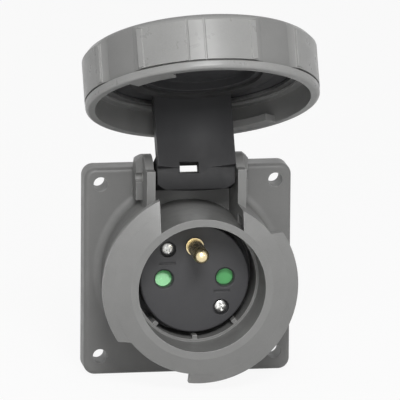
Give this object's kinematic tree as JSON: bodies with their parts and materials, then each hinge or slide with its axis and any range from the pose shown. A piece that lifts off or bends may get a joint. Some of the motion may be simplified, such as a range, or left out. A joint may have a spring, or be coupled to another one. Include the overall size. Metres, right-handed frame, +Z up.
{
  "type": "industrial panel socket",
  "caption": "Square-flange panel socket with a round collar, an earth pin, shuttered entries and a hinged cap with a lobed bayonet locking ring.",
  "frame": {"origin": "centre of the flange's mounting plane, on the socket's axis", "axes": "-Y along the socket's axis, out of the panel towards the user; +Z up, towards the hinge; +X to the right as the user sees it"},
  "size_m": [0.0718, 0.0851, 0.1228],
  "materials": {
    "grey_moulding": "moulded grey polyamide, fine satin",
    "grey_ring": "moulded grey polyamide, satin",
    "black_moulding": "moulded black thermoset, fine matt",
    "black_lid": "moulded black polyamide, satin",
    "green_moulding": "moulded green plastic, smooth",
    "seal_rubber": "black sealing rubber, matt",
    "brass": "turned brass",
    "plated_steel": "zinc-plated steel",
    "spring_steel": "bright spring steel"
  },
  "bodies": {
    "socket": {"housing": "grey_moulding", "flange_seal": "seal_rubber", "insert_face": "black_moulding", "contact_carrier": "black_moulding", "carrier_seal": "seal_rubber", "thread_inserts": "brass", "face_screws": "plated_steel", "shutter_spring": "spring_steel", "line_contact": "brass", "neutral_contact": "brass", "earth_pin": "brass", "contact_springs": "spring_steel", "terminal_screws": "plated_steel", "wire_clamps": "plated_steel", "hinge_pin": "plated_steel"},
    "cap_lid": {"lid": "black_lid", "lid_seal": "seal_rubber"},
    "cap_ring": {"locking_ring": "grey_ring", "snap_ring": "spring_steel"},
    "entry_shutter": {"shutter": "green_moulding"}
  },
  "joints": [
    {"name": "lid_hinge", "type": "hinge", "parent": "socket", "child": "cap_lid", "pos_m": [0, -0.0154, 0.0308], "axis": [1, 0, 0], "range_deg": [0, 119.8]},
    {"name": "ring_turn", "type": "hinge", "parent": "cap_lid", "child": "cap_ring", "pos_m": [0, -0.03189, 0.06398], "axis": [0, -0.497, -0.8678], "range_deg": [0, 60]},
    {"name": "shutter_turn", "type": "hinge", "parent": "socket", "child": "entry_shutter", "pos_m": [0, -0.018, 0], "axis": [0, -1, 0], "range_deg": [0, 38], "stiffness_Nm_per_rad": 0.002, "springref_deg": -20.05}
  ]
}
